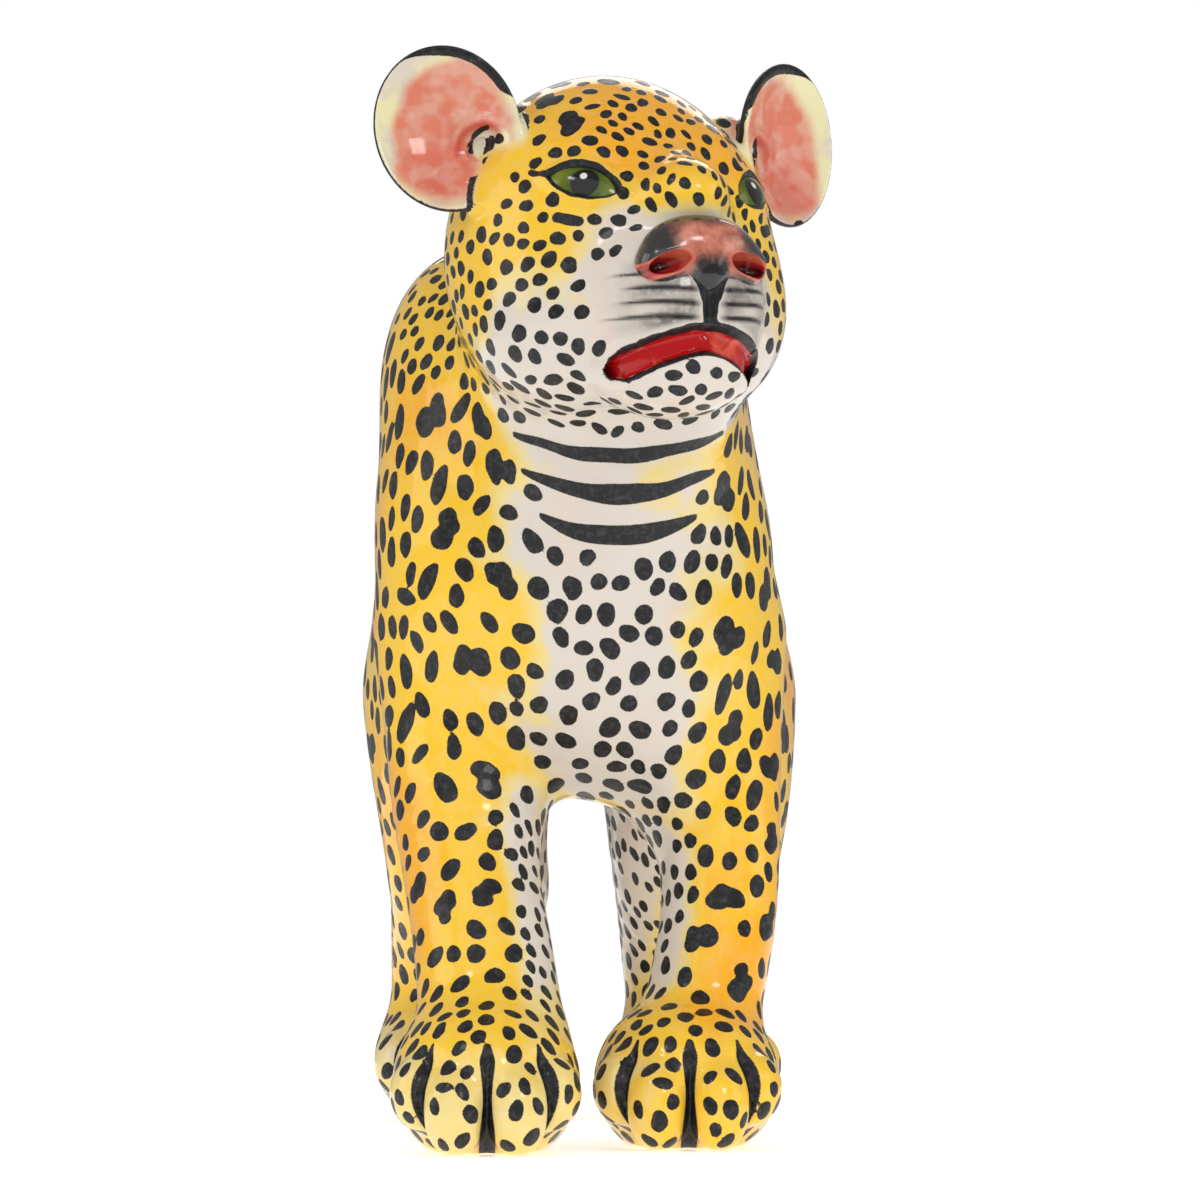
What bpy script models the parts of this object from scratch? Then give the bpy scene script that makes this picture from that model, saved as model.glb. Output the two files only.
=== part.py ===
"""A standing spotted big cat, a hollow hand-painted ceramic figure, as the pieces its maker luted together.

Axes: +Z up, the figure faces -Y, and its own left side is +X. Every size below is in millimetres;
the scene is in metres. The origin ends up under the middle of the figure's box, on the ground.
"""

import math

import bmesh
import bpy
from mathutils import Euler, Matrix, Vector

MM = 0.001

# ---- driving dimensions -------------------------------------------------------------------------
WALL = 6.0  # cast wall of the hollow pieces
SEAM_GAP = 0.3  # between two pieces that touch
LEG_SEAM_Z = 112.0  # the legs are luted on at this height
LEG_SPLIT_X = 1.7  # between the paws, which pass each other closely
NECK_SEAM_POINT = Vector((6.0, -100.0, 255.0))
NECK_SEAM_NORMAL = Vector((0.10, -0.80, 0.59)).normalized()
SPIGOT_RADIUS = 10.0  # each leg's locating spigot
SPIGOT_BORE = 6.0
SPIGOT_LENGTH = 14.0
NECK_SPIGOT_RADIUS = 20.0
NECK_SPIGOT_BORE = 14.0
VENT_RADIUS = 4.0  # lets the kiln's hot air out of the belly
VOXEL = 3.0
WELD = 0.01  # a tube's caps and sides are one skin
FIGURE_REACH = 900.0  # longer than the whole figure, for boxes that cut all of it

# Rounded masses, each (centre, half-sizes).
TORSO_MASSES = (
    ((0, -72, 196), (60, 58, 80)),  # chest
    ((-38, -60, 207), (32, 52, 88)),  # right shoulder
    ((31, -66, 178), (31, 50, 78)),  # left shoulder
    ((-33, -42, 262), (33, 52, 41)),  # right withers
    ((-8, -35, 250), (44, 62, 50)),  # withers
    ((-2, 36, 206), (62, 118, 84)),  # barrel
    ((0, 112, 207), (60, 70, 78)),  # rump
    ((-43, 100, 162), (33, 62, 76)),  # right haunch
    ((40, 100, 148), (33, 62, 78)),  # left haunch
)
# Limbs, each a run of (x, y, z, radius) down to a paw (centre, half-sizes).
LEGS = {
    "foreleg_right": (
        ((-38, -62, 168, 30), (-38, -80, 122, 27), (-37, -97, 92, 23), (-33, -112, 66, 23), (-30, -124, 42, 24)),
        ((-31.5, -136, 23), (31, 39, 29)),
    ),
    "foreleg_left": (
        ((42, -62, 168, 26), (45, -74, 118, 22), (46, -82, 80, 19.5), (41, -87, 48, 19.5)),
        ((35, -98, 22), (31, 38, 28)),
    ),
    "hindleg_right": (
        ((-45, 108, 150, 31), (-42, 103, 98, 29), (-41, 112, 80, 28), (-46, 128, 60, 23), (-48, 134, 38, 21)),
        ((-43, 124, 21), (32, 39, 26)),
    ),
    "hindleg_left": (
        ((42, 108, 150, 31), (40, 102, 98, 29.5), (36, 120, 66, 23), (37, 128, 38, 21)),
        ((39, 116, 21), (28, 38, 26)),
    ),
}
TOES = (  # aside and forward of the paw's middle, height of the centre, half height
    (-20.5, 22, 20, 12.5),
    (-9.8, 31.5, 14.5, 15),
    (10.2, 31.5, 14.5, 15),
    (20.5, 22, 20, 12.5),
)
TOE_RADIUS = 11.0
TOE_HALF_LENGTH = 13.5
NECK = ((-3, -55, 236, 54), (4, -88, 256, 51), (12, -120, 284, 43))
THROAT = ((5, -90, 220, 44), (9, -108, 234, 41), (14, -124, 250, 35))
TAIL = (
    (0, 150, 252, 14),
    (2, 176, 250, 13.5),
    (11, 199, 230, 12.5),
    (28, 213, 182, 11),
    (38, 216, 132, 10),
    (40, 224, 98, 9.5),
    (38, 241, 84, 9),
    (31, 256, 92, 8.5),
    (26, 259, 110, 7.5),
    (25, 257, 118, 3),
)

# The head, in its own frame: +X its left, -Y forward, +Z up, turned and placed by these.
HEAD_CENTRE = Vector((9.0, -138.0, 294.0))
HEAD_TURN = Euler((math.radians(-6), math.radians(1), math.radians(25)), "XYZ")
HEAD_MASSES = (
    ((0, 0, 0), (54, 57, 56)),  # cranium
    ((0, 4, 14), (46, 46, 47.5)),  # crown
    ((-23, -14, -20), (28, 37, 32)),  # right cheek
    ((24, -12, -20), (29, 38, 33)),  # left cheek
    ((0, -46, -20), (30.5, 30, 29)),  # muzzle
    ((0, -46, 12), (18, 28, 15)),  # bridge of the nose
    ((0, -46, -42), (26, 25, 17)),  # chin
)
NOSE_MASSES = (
    ((0, -68, -6.5), (19.2, 12, 11)),  # pad
    ((-14, -69, -12), (8.5, 10, 7.5)),  # right wing
    ((14, -69, -12), (8.5, 10, 7.5)),  # left wing
)
NOSTRIL_PLACE = (14, -78, -12.5)  # the left one; the right one is mirrored
NOSTRIL_SIZE = (6.0, 7, 3.4)
EYES_ASIDE = 2.0  # the pair sits a little off the head's middle
EYE_SKIN = (31.0, -42.5, 17.5)  # the left eye's middle, on the skin
EYE_TURN_Y = 1.2  # the left eye sits this much further back and the right one further forward
EYE_OUTWARD = Vector((0.55, -0.78, 0.31)).normalized()
EYE_ALONG = Vector((0.74, 0.65, 0.30))  # from the inner corner to the outer one
EYE_SIZE = (15.0, 9.5, 8.0)  # along, up, outward
EYE_SUNK = 6.2
EAR_PLACE = (58, 2, 40.5)  # the left ear's middle
EARS_ASIDE = 2.0
EAR_ROOT = (15, 5, -13)  # inwards, backwards and up from the ear's middle
EAR_ROOT_SIZE = (15, 9, 19)
EAR_HALF = (24, 28)
EAR_CUP = 9.0
EAR_THICKNESS = 4.0
EAR_OUTWARD_DEG = 27.0
EAR_LEAN_DEG = 14.0

# ---- looks --------------------------------------------------------------------------------------
GLAZE_YELLOW = (0.90, 0.52, 0.06)
CREAM = (0.84, 0.76, 0.66)
ORANGE = (0.88, 0.42, 0.05)
SALMON = (0.72, 0.28, 0.20)
NOSE_RED = (0.42, 0.12, 0.09)
EYE_GREEN = (0.20, 0.26, 0.05)


def glaze(name, colour, roughness=0.12):
    material = bpy.data.materials.new(name)
    material.use_nodes = True
    shader = material.node_tree.nodes["Principled BSDF"]
    shader.inputs["Base Color"].default_value = (*colour, 1)
    shader.inputs["Roughness"].default_value = roughness
    shader.inputs["Metallic"].default_value = 0
    material.diffuse_color = (*colour, 1)
    return material


# ---- building blocks ----------------------------------------------------------------------------
def object_from(name, mesh):
    thing = bpy.data.objects.new(name, mesh)
    bpy.context.collection.objects.link(thing)
    return thing


def as_helper(thing):
    thing.hide_render = True
    thing.display_type = "WIRE"
    return thing


def ellipsoid(centre, half_sizes, frame=Matrix.Identity(4), segments=28):
    """A closed rounded mass, in metres, with its size baked into the mesh."""
    mesh = bpy.data.meshes.new("mass")
    shape = bmesh.new()
    bmesh.ops.create_uvsphere(shape, u_segments=segments, v_segments=segments // 2, radius=1)
    placed = frame @ Matrix.Translation(Vector(centre)) @ Matrix.Diagonal((*half_sizes, 1))
    bmesh.ops.transform(shape, matrix=Matrix.Scale(MM, 4) @ placed, verts=shape.verts)
    shape.to_mesh(mesh)
    shape.free()
    return as_helper(object_from("mass", mesh))


def tube(run, inset=0.0, sides=2):
    """A round limb of changing radius along a smooth curve, closed at both ends."""
    curve = bpy.data.curves.new("limb", "CURVE")
    curve.dimensions = "3D"
    curve.bevel_depth = MM
    curve.bevel_resolution = sides
    curve.resolution_u = 4
    curve.use_fill_caps = True
    spline = curve.splines.new("BEZIER")
    spline.bezier_points.add(len(run) - 1)
    for point, (x, y, z, radius) in zip(spline.bezier_points, run):
        point.co = Vector((x, y, z)) * MM
        point.radius = radius - inset
        point.handle_left_type = "AUTO"
        point.handle_right_type = "AUTO"
    guide = as_helper(object_from("limb_line", curve))
    shape = bmesh.new()
    shape.from_mesh(mesh_of(guide))
    bmesh.ops.remove_doubles(shape, verts=shape.verts, dist=WELD * MM)
    mesh = bpy.data.meshes.new("limb")
    shape.to_mesh(mesh)
    shape.free()
    bpy.data.objects.remove(guide)
    return as_helper(object_from("limb", mesh))


def mesh_of(thing):
    graph = bpy.context.evaluated_depsgraph_get()
    return bpy.data.meshes.new_from_object(thing.evaluated_get(graph))


def blended(name, pieces, voxel=VOXEL, smoothing=6, triangles=None):
    """The union of overlapping masses as one smooth closed skin."""
    joined = bmesh.new()
    for piece in pieces:
        mesh = mesh_of(piece)
        mesh.transform(piece.matrix_world)
        joined.from_mesh(mesh)
        bpy.data.meshes.remove(mesh)
        bpy.data.objects.remove(piece)
    mesh = bpy.data.meshes.new(name)
    joined.to_mesh(mesh)
    joined.free()
    skin = as_helper(object_from(name, mesh))
    remesh = skin.modifiers.new("union", "REMESH")
    remesh.mode = "VOXEL"
    remesh.voxel_size = voxel * MM
    smooth = skin.modifiers.new("soften", "SMOOTH")
    smooth.iterations = smoothing
    smooth.factor = 0.5
    if triangles:
        count = 2 * len(mesh_of(skin).polygons)
        thin = skin.modifiers.new("thin", "DECIMATE")
        thin.ratio = min(1.0, triangles / count)
    skin.data = mesh_of(skin)
    skin.modifiers.clear()
    return skin


def boolean(host, operation, other):
    modifier = host.modifiers.new(operation.lower(), "BOOLEAN")
    modifier.operation = operation
    modifier.object = other
    modifier.solver = "EXACT"


def half_space(point, normal, offset=0.0):
    """A box that fills everything beyond a plane, on the side that its normal points to."""
    mesh = bpy.data.meshes.new("half_space")
    shape = bmesh.new()
    bmesh.ops.create_cube(shape, size=FIGURE_REACH * MM)
    shape.to_mesh(mesh)
    shape.free()
    box = as_helper(object_from("half_space", mesh))
    normal = Vector(normal)
    box.rotation_euler = normal.to_track_quat("Z", "Y").to_euler()
    box.location = (Vector(point) + normal * (FIGURE_REACH / 2 + offset)) * MM
    return box


def cylinder(radius, bottom, direction, length, segments=20):
    mesh = bpy.data.meshes.new("cylinder")
    shape = bmesh.new()
    bmesh.ops.create_cone(
        shape,
        cap_ends=True,
        segments=segments,
        radius1=radius * MM,
        radius2=radius * MM,
        depth=length * MM,
    )
    shape.to_mesh(mesh)
    shape.free()
    rod = as_helper(object_from("cylinder", mesh))
    direction = Vector(direction)
    rod.rotation_euler = direction.to_track_quat("Z", "Y").to_euler()
    rod.location = (Vector(bottom) + direction * length / 2) * MM
    return rod


def grown(thing, by=SEAM_GAP):
    """A slightly larger copy, which cuts the seat that the piece sits in."""
    copy = as_helper(object_from("seat", mesh_of(thing)))
    copy.matrix_world = thing.matrix_world
    swell = copy.modifiers.new("clearance", "DISPLACE")
    swell.mid_level = 0
    swell.strength = by * MM
    return copy


def finished(name, thing, material):
    """The helper becomes a piece of the figure."""
    thing.name = name
    thing.hide_render = False
    thing.display_type = "TEXTURED"
    thing.data.materials.clear()
    thing.data.materials.append(material)
    thing.data.shade_smooth()
    return thing


# ---- shapes -------------------------------------------------------------------------------------
def shrunk(half_sizes, inset):
    return tuple(size - inset for size in half_sizes)


def toes_of(paw_centre):
    x, y, _ = paw_centre
    masses = []
    for aside, forward, height, half_height in TOES:
        place = (x + aside, y - forward, height)
        masses.append(ellipsoid(place, (TOE_RADIUS, TOE_HALF_LENGTH, half_height)))
    return masses


def leg_masses(name, inset=0.0):
    run, (paw_centre, paw_half) = LEGS[name]
    pieces = [tube(run, inset), ellipsoid(paw_centre, shrunk(paw_half, inset))]
    if not inset:
        pieces += toes_of(paw_centre)
    return pieces


def torso_masses(inset=0.0):
    return [ellipsoid(centre, shrunk(half, inset)) for centre, half in TORSO_MASSES]


def head_frame():
    return Matrix.Translation(HEAD_CENTRE) @ HEAD_TURN.to_matrix().to_4x4()


def head_masses(inset=0.0):
    frame = head_frame()
    return [ellipsoid(centre, shrunk(half, inset), frame) for centre, half in HEAD_MASSES]


def ear_frame(side):
    x, y, z = EAR_PLACE
    lean = Matrix.Rotation(math.radians(side * EAR_LEAN_DEG), 4, "Y")
    turn = Matrix.Rotation(math.radians(side * EAR_OUTWARD_DEG), 4, "Z")
    return head_frame() @ Matrix.Translation((side * x + EARS_ASIDE, y, z)) @ turn @ lean


def ear_root(side):
    """The swelling of the head that carries an ear."""
    inwards, backwards, up = EAR_ROOT
    return ellipsoid((-side * inwards, backwards, up), EAR_ROOT_SIZE, ear_frame(side))


def eye(side):
    """An almond-shaped lens, let into the face so that only its front shows."""
    mirror = Vector((side, 1, 1))
    x, y, z = EYE_SKIN
    outward = EYE_OUTWARD * mirror
    along = side * EYE_ALONG * mirror
    along = (along - outward * along.dot(outward)).normalized()
    up = outward.cross(along)
    middle = Vector((side * x + EYES_ASIDE, y + side * EYE_TURN_Y, z)) - outward * EYE_SUNK
    axes = Matrix((along, up, outward)).transposed().to_4x4()
    return ellipsoid((0, 0, 0), EYE_SIZE, head_frame() @ Matrix.Translation(middle) @ axes, 18)


def ear(side, rings=5, spokes=20):
    """A thin cupped disc: two dished faces that meet at a rounded rim."""
    shape = bmesh.new()
    faces_of = []
    for back in (0, 1):
        centre = None
        loops = []
        for ring in range(rings + 1):
            share = ring / rings
            half_thick = 0.5 * EAR_THICKNESS * math.sqrt(max(0.0, 1 - share**6))
            depth = -EAR_CUP * share**2 + (half_thick if back else -half_thick)
            if ring == 0:
                centre = shape.verts.new((0, depth, 0))
                continue
            if ring == rings and back:
                loops.append(faces_of[0][-1])
                continue
            loop = []
            for spoke in range(spokes):
                angle = 2 * math.pi * spoke / spokes
                x = EAR_HALF[0] * share * math.cos(angle)
                z = EAR_HALF[1] * share * math.sin(angle)
                loop.append(shape.verts.new((x, depth, z)))
            loops.append(loop)
        for spoke in range(spokes):
            following = (spoke + 1) % spokes
            shape.faces.new((centre, loops[0][spoke], loops[0][following]))
            for inner, outer in zip(loops, loops[1:]):
                shape.faces.new((inner[spoke], outer[spoke], outer[following], inner[following]))
        faces_of.append(loops)
    bmesh.ops.recalc_face_normals(shape, faces=shape.faces)
    bmesh.ops.transform(shape, matrix=Matrix.Scale(MM, 4) @ ear_frame(side), verts=shape.verts)
    mesh = bpy.data.meshes.new("ear")
    shape.to_mesh(mesh)
    shape.free()
    return as_helper(object_from("ear", mesh))


# ---- the pieces ---------------------------------------------------------------------------------
def figure_skin():
    """The outer skin of torso, neck, head and legs in one, so that every seam lines up."""
    pieces = torso_masses() + head_masses() + [tube(NECK), tube(THROAT), ear_root(1), ear_root(-1)]
    for name in LEGS:
        pieces += leg_masses(name)
    return blended("figure_skin", pieces, smoothing=14, triangles=5000)


def copy_of(skin):
    return as_helper(object_from("piece", skin.data.copy()))


def leg_top(name):
    """Where the leg's middle line crosses the seam."""
    run = LEGS[name][0]
    for above, below in zip(run, run[1:]):
        if above[2] >= LEG_SEAM_Z >= below[2]:
            share = (above[2] - LEG_SEAM_Z) / (above[2] - below[2])
            return tuple(a + (b - a) * share for a, b in zip(above[:2], below[:2]))
    raise ValueError(name)


def make_leg(skin, name):
    up = (0, 0, 1)
    down = (0, 0, -1)
    paw_centre = LEGS[name][1][0]
    side = math.copysign(1, paw_centre[0])
    end = math.copysign(1, paw_centre[1])
    leg = copy_of(skin)
    boolean(leg, "DIFFERENCE", half_space((0, 0, LEG_SEAM_Z), up, -SEAM_GAP / 2))
    boolean(leg, "DIFFERENCE", half_space((0, 0, 0), down))
    boolean(leg, "DIFFERENCE", half_space((LEG_SPLIT_X, 0, 0), (-side, 0, 0)))
    boolean(leg, "DIFFERENCE", half_space((0, 0, 0), (0, -end, 0)))
    hollow = blended("leg_hollow", leg_masses(name, WALL), smoothing=2, triangles=260)
    boolean(hollow, "DIFFERENCE", half_space((0, 0, LEG_SEAM_Z - WALL), up))
    boolean(hollow, "DIFFERENCE", half_space((0, 0, WALL), down))
    boolean(leg, "DIFFERENCE", hollow)
    x, y = leg_top(name)
    foot = (x, y, LEG_SEAM_Z - WALL / 2)
    boolean(leg, "UNION", cylinder(SPIGOT_RADIUS, foot, up, SPIGOT_LENGTH + WALL / 2))
    low = (x, y, LEG_SEAM_Z - 2 * WALL)
    boolean(leg, "DIFFERENCE", cylinder(SPIGOT_BORE, low, up, SPIGOT_LENGTH + 3 * WALL))
    return leg


def make_torso(skin, tail):
    torso = copy_of(skin)
    boolean(torso, "DIFFERENCE", half_space((0, 0, LEG_SEAM_Z), (0, 0, -1), -SEAM_GAP / 2))
    boolean(torso, "DIFFERENCE", half_space(NECK_SEAM_POINT, NECK_SEAM_NORMAL, -SEAM_GAP / 2))
    hollow = blended("torso_hollow", torso_masses(WALL), smoothing=4, triangles=800)
    boolean(hollow, "DIFFERENCE", half_space((0, 0, LEG_SEAM_Z + WALL), (0, 0, -1)))
    boolean(hollow, "DIFFERENCE", half_space(NECK_SEAM_POINT, NECK_SEAM_NORMAL, -WALL))
    boolean(torso, "DIFFERENCE", hollow)
    for name in LEGS:
        x, y = leg_top(name)
        low = (x, y, LEG_SEAM_Z - WALL)
        socket = cylinder(SPIGOT_RADIUS + SEAM_GAP, low, (0, 0, 1), SPIGOT_LENGTH + 3 * WALL)
        boolean(torso, "DIFFERENCE", socket)
    neck_low = NECK_SEAM_POINT - NECK_SEAM_NORMAL * 3 * WALL
    neck_socket = cylinder(NECK_SPIGOT_RADIUS + SEAM_GAP, neck_low, NECK_SEAM_NORMAL, 4 * WALL)
    boolean(torso, "DIFFERENCE", neck_socket)
    boolean(torso, "DIFFERENCE", grown(tail))
    boolean(torso, "DIFFERENCE", cylinder(VENT_RADIUS, (0, 30, LEG_SEAM_Z), (0, 0, 1), 5 * WALL, 16))
    return torso


def make_head(skin, guests):
    head = copy_of(skin)
    backward = -NECK_SEAM_NORMAL
    boolean(head, "DIFFERENCE", half_space(NECK_SEAM_POINT, backward, -SEAM_GAP / 2))
    hollow = blended("head_hollow", head_masses(WALL + 2), smoothing=4, triangles=420)
    boolean(hollow, "DIFFERENCE", half_space(NECK_SEAM_POINT, backward, -WALL))
    boolean(head, "DIFFERENCE", hollow)
    foot = NECK_SEAM_POINT + NECK_SEAM_NORMAL * WALL / 2
    spigot = cylinder(NECK_SPIGOT_RADIUS, foot, backward, WALL / 2 + 2 * WALL)
    boolean(head, "UNION", spigot)
    far = NECK_SEAM_POINT + NECK_SEAM_NORMAL * 2 * WALL
    boolean(head, "DIFFERENCE", cylinder(NECK_SPIGOT_BORE, far, backward, 5 * WALL))
    for guest in guests:
        boolean(head, "DIFFERENCE", grown(guest))
    return head


def make_nose():
    frame = head_frame()
    pad, *wings = [ellipsoid(centre, half, frame, 18) for centre, half in NOSE_MASSES]
    for wing in wings:
        boolean(pad, "UNION", wing)
    x, y, z = NOSTRIL_PLACE
    for side in (-1, 1):
        boolean(pad, "DIFFERENCE", ellipsoid((side * x, y, z), NOSTRIL_SIZE, frame, 12))
    return pad


def recentre(pieces):
    """Puts the origin under the middle of the figure's box."""
    corners = []
    for piece in pieces:
        mesh = mesh_of(piece)
        corners += [piece.matrix_world @ vertex.co for vertex in mesh.vertices]
        bpy.data.meshes.remove(mesh)
    low = Vector([min(corner[axis] for corner in corners) for axis in range(3)])
    high = Vector([max(corner[axis] for corner in corners) for axis in range(3)])
    base = bpy.data.objects.new("figure_origin", None)
    bpy.context.collection.objects.link(base)
    for thing in bpy.data.objects:
        if thing is not base:
            thing.parent = base
    base.location = (-(low.x + high.x) / 2, -(low.y + high.y) / 2, -low.z)
    print("shift_mm", [round(value / MM, 3) for value in base.location])


def main():
    for thing in list(bpy.data.objects):
        bpy.data.objects.remove(thing)
    skin = figure_skin()
    tail = tube(TAIL)
    ears = {"ear_left": ear(1), "ear_right": ear(-1)}
    eyes = {"eye_left": eye(1), "eye_right": eye(-1)}
    nose = make_nose()
    bpy.context.view_layer.update()
    pieces = [
        finished("torso", make_torso(skin, tail), glaze("torso", GLAZE_YELLOW)),
        finished("head", make_head(skin, [nose, *ears.values(), *eyes.values()]), glaze("head", ORANGE)),
        finished("nose_pad", nose, glaze("nose_pad", NOSE_RED, 0.2)),
    ]
    for name, thing in ears.items():
        pieces.append(finished(name, thing, glaze(name, SALMON)))
    for name, thing in eyes.items():
        pieces.append(finished(name, thing, glaze(name, EYE_GREEN, 0.05)))
    for name in LEGS:
        pieces.append(finished(name, make_leg(skin, name), glaze(name, GLAZE_YELLOW)))
    pieces.append(finished("tail", tail, glaze("tail", CREAM)))
    bpy.context.view_layer.update()
    recentre(pieces)


main()
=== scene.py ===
"""The looks of a hand-painted, clear-glazed ceramic big cat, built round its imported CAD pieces.

The clay is one smooth signed-distance field in millimetres. Each CAD piece is replaced by a fine mesh of
that field, cut on the same seam planes. The paint is worked out per vertex as distances and washes.
"""

import math

import bmesh
import bpy
import numpy as np
from mathutils import Euler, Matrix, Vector


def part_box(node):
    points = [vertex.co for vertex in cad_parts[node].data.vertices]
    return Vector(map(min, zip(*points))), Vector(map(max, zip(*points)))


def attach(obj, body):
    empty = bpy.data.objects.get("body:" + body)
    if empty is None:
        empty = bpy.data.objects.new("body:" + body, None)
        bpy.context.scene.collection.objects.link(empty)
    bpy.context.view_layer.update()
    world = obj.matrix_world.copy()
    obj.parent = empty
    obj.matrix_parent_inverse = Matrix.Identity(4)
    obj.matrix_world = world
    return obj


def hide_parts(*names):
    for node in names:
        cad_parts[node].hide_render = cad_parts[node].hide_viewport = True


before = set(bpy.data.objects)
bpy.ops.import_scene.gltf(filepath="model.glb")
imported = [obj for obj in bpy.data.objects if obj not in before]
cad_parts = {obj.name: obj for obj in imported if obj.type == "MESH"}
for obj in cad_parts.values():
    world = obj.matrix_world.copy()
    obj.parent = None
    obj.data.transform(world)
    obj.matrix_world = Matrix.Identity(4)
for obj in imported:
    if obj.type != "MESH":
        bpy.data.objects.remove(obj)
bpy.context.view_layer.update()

SEED = 11
STEP_HEAD = 0.75
STEP_EAR = STEP_HEAD * 0.85
STEP_BODY = 1.25
STEP_SMALL = 0.5

# ---- the clay's skeleton, in millimetres, facing -Y ----
LEG_SEAM_Z = 112.0
BLEND = {"torso": 16, "neck": 14, "joint": 12, "head": 9, "ear": 5, "paw": 9, "toe": 3, "sole": 1.5}
NECK_SEAM_POINT = np.array((6.0, -100.0, 255.0))
NECK_SEAM_NORMAL = np.array(Vector((0.10, -0.80, 0.59)).normalized())
TORSO = (
    ((0, -72, 196), (60, 58, 80)),
    ((-38, -60, 207), (32, 52, 88)),
    ((31, -66, 178), (31, 50, 78)),
    ((-33, -42, 262), (33, 52, 41)),
    ((-8, -35, 250), (44, 62, 50)),
    ((-2, 36, 206), (62, 118, 84)),
    ((0, 112, 207), (60, 70, 78)),
    ((-43, 100, 162), (33, 62, 76)),
    ((40, 100, 148), (33, 62, 78)),
)
LEGS = {
    "foreleg_right": (
        (
            (-38, -62, 168, 30),
            (-38, -80, 122, 27),
            (-37, -97, 92, 23),
            (-33, -112, 66, 23),
            (-30, -124, 42, 24),
        ),
        ((-31.5, -136, 23), (31, 39, 29)),
    ),
    "foreleg_left": (
        ((42, -62, 168, 26), (45, -74, 118, 22), (46, -82, 80, 19.5), (41, -87, 48, 19.5)),
        ((35, -98, 22), (31, 38, 28)),
    ),
    "hindleg_right": (
        ((-45, 108, 150, 31), (-42, 103, 98, 29), (-41, 112, 80, 28), (-46, 128, 60, 23), (-48, 134, 38, 21)),
        ((-43, 124, 21), (32, 39, 26)),
    ),
    "hindleg_left": (
        ((42, 108, 150, 31), (40, 102, 98, 29.5), (36, 120, 66, 23), (37, 128, 38, 21)),
        ((39, 116, 21), (28, 38, 26)),
    ),
}
TOES = (  # aside and forward of the paw's middle, height of the centre, half height
    (-20.5, 22, 20, 12.5),
    (-9.8, 31.5, 14.5, 15),
    (10.2, 31.5, 14.5, 15),
    (20.5, 22, 20, 12.5),
)
TOE_RADIUS = 11.0
TOE_HALF_LENGTH = 13.5
STROKE_TOP = 36.0  # how high the strokes between the toes reach
TOE_STROKES_DEG = (-28.0, 1.0, 28.0)
GROOVE_DEPTH = 1.9
GROOVE_SOFTNESS = 1.6
NECK = ((-3, -55, 236, 54), (4, -88, 256, 51), (12, -120, 284, 43))
THROAT = ((5, -90, 220, 44), (9, -108, 234, 41), (14, -124, 250, 35))
TAIL = (
    (0, 150, 252, 14),
    (2, 176, 250, 13.5),
    (11, 199, 230, 12.5),
    (28, 213, 182, 11),
    (38, 216, 132, 10),
    (40, 224, 98, 9.5),
    (38, 241, 84, 9),
    (31, 256, 92, 8.5),
    (26, 259, 110, 7.5),
)
HEAD_CENTRE = np.array((9.0, -138.0, 294.0))
HEAD_AXES = np.array(Euler((math.radians(-6), math.radians(1), math.radians(25)), "XYZ").to_matrix())
HEAD = (
    ((0, 0, 0), (54, 57, 56)),
    ((0, 4, 14), (46, 46, 47.5)),
    ((-23, -14, -20), (28, 37, 32)),
    ((24, -12, -20), (29, 38, 33)),
    ((0, -46, -20), (30.5, 30, 29)),
    ((0, -46, 12), (18, 28, 15)),
    ((0, -46, -42), (26, 25, 17)),
)
SWELLINGS = (  # on each side: place, radius, height
    ((26, -44, 34), 12, 2.0),  # brow
    ((15, -54, 22), 9, -1.8),  # hollow by the inner corner of the eye
    ((13, -70, -26), 11, 2.4),  # whisker pad
)
NOSE_CENTRE = (0, -68, -6.5)
NOSE_SIZE = (19.2, 12, 11)
NOSTRIL = (14.0, -78.0, -12.5)
NOSTRIL_SIZE = (6.6, 9, 3.4)
EYES = ("eye_left", "eye_right")
EYE_MIDDLE = (31.0, -42.5, 17.5)  # on the skin, left eye
EYES_ASIDE = 2.0  # the pair sits a little off the head's middle
EYE_OUTWARD = (0.55, -0.78, 0.31)
EYE_ALONG = (0.74, 0.65, 0.30)  # from the inner corner to the outer one
EYE_SIZE = (15.0, 9.5, 8.0)  # along, up, outward
EYE_SUNK = 6.2
EYE_STAGGER = 1.2  # one eye this much forward of the middle and the other behind it
SOCKET_DEPTH = 2.5
LID_HEIGHT = 1.3
LID_LENGTH = 13.2
LID_TOP = 6.3
LID_BOTTOM = 5.3
MOUTH_REACH = 21.5
MOUTH_MIDDLE_Z = -37.0
MOUTH_DROP = 6.5
MOUTH_THICK = 3.5
MOUTH_DEPTH = 2.6
LIP_HEIGHT = 0.8
FACE_Y = -35.0  # the lips, nose and whiskers lie forward of this
EAR_PLACE = (58, 2, 40.5)
EARS_ASIDE = 2.0
EAR_HALF = (24, 28)
EAR_CUP = 9.0
EAR_THICKNESS = 4.0
EAR_OUTWARD_DEG = 27.0
EAR_LEAN_DEG = 14.0
EAR_SEAM_OUT = 57.5  # from the head's middle


# ---- distance fields ----
def blend_min(a, b, soft):
    share = np.clip(0.5 + 0.5 * (b - a) / soft, 0, 1)
    return b + (a - b) * share - soft * share * (1 - share)


def blend_max(a, b, soft):
    return -blend_min(-a, -b, soft)


def length(v):
    return np.sqrt(np.einsum("ij,ij->i", v, v))


def ellipsoid(p, centre, half):
    half = np.asarray(half, np.float32)
    q = (p - np.asarray(centre, np.float32)) / half
    near = length(q)
    return near * (near - 1) / np.maximum(length(q / half), 1e-6)


def lumps(p, table, soft):
    """Ellipsoids run softly together, from (centre, half-sizes) pairs."""
    (centre, half), *rest = table
    d = ellipsoid(p, centre, half)
    for centre, half in rest:
        d = blend_min(d, ellipsoid(p, centre, half), soft)
    return d


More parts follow.
